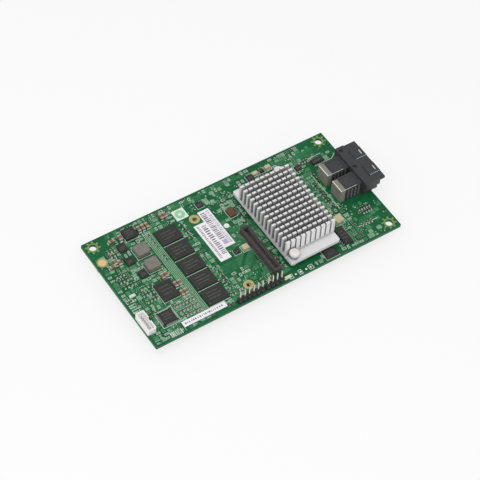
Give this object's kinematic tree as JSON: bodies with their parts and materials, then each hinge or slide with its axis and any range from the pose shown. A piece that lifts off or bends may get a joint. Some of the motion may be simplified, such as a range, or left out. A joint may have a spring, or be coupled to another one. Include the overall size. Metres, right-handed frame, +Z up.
{
  "type": "raid controller card",
  "caption": "Mezzanine RAID controller board with a pin-fin heat sink, right-angle storage sockets, memory, cache-module slot and host connectors underneath.",
  "frame": {"origin": "middle of the outline, on the plane of the host connectors' lower faces, which the card rests on", "axes": "+X towards the storage sockets, +Y towards the long edge away from the pin headers, +Z up from the component side"},
  "size_m": [0.148, 0.07, 0.023],
  "materials": {
    "board_green": "green solder mask over woven glass board, dense pale traces",
    "package_substrate": "dark green package substrate",
    "silicon_die": "bare silicon, dark and glossy",
    "thermal_pad_grey": "soft grey gap pad",
    "sink_aluminium": "plain machined aluminium, satin, bright fin tips",
    "pin_white": "white nylon",
    "spring_steel": "bright spring wire",
    "connector_black": "black glass-filled moulding",
    "wafer_grey": "brown-grey moulded contact wafers",
    "contact_gold": "gold-plated contacts",
    "contact_tin": "tin-plated tails and leads",
    "standoff_brass": "pale brass",
    "header_black": "black moulding",
    "shroud_white": "white nylon",
    "chip_dark": "dark brown-grey moulding compound",
    "inductor_grey": "grey-brown pressed iron powder",
    "ceramic_brown": "brown ceramic with tin ends",
    "ceramic_dark": "black coated ceramic with tin ends",
    "tantalum_beige": "beige moulding",
    "oscillator_brown": "brown lidded ceramic can",
    "solder_grey": "solder",
    "light_lens": "pale milky lens on a white base",
    "label_white": "white label with plain grey bars",
    "label_green": "pale green label with a plain ring"
  },
  "bodies": {
    "root": {"circuit_board": "board_green", "processor_package": "package_substrate", "processor_die": "silicon_die", "thermal_pad": "thermal_pad_grey", "heat_sink": "sink_aluminium", "push_pins": "pin_white", "push_pin_springs": "spring_steel", "sas_housing": "connector_black", "sas_locating_pegs": "connector_black", "sas_contact_wafers": "wafer_grey", "sas_contact_pads": "contact_gold", "host_connector_housings": "connector_black", "host_connector_contacts": "contact_gold", "cache_slot_housing": "connector_black", "cache_slot_contacts": "contact_tin", "module_standoffs": "standoff_brass", "blind_standoff": "standoff_brass", "pin_header_bases": "header_black", "pin_header_pins": "contact_gold", "power_header_shroud": "shroud_white", "power_header_pins": "contact_tin", "memory_chips": "chip_dark", "memory_chips_underside": "chip_dark", "flash_chip": "chip_dark", "solder_fields": "solder_grey", "quad_chip": "chip_dark", "quad_chip_leads": "contact_tin", "power_inductors": "inductor_grey", "inductor_feet": "contact_tin", "power_chips": "chip_dark", "driver_chip": "chip_dark", "long_chips": "chip_dark", "long_chip_leads": "contact_tin", "flat_chips": "chip_dark", "oscillator": "oscillator_brown", "tantalum_capacitors": "tantalum_beige", "tantalum_tabs": "contact_tin", "ceramic_capacitors": "ceramic_brown", "chip_resistors": "ceramic_dark", "chip_capacitors": "ceramic_brown", "status_lights": "light_lens", "barcode_labels": "label_white", "strip_label": "label_white", "square_sticker": "label_green"}
  },
  "joints": []
}
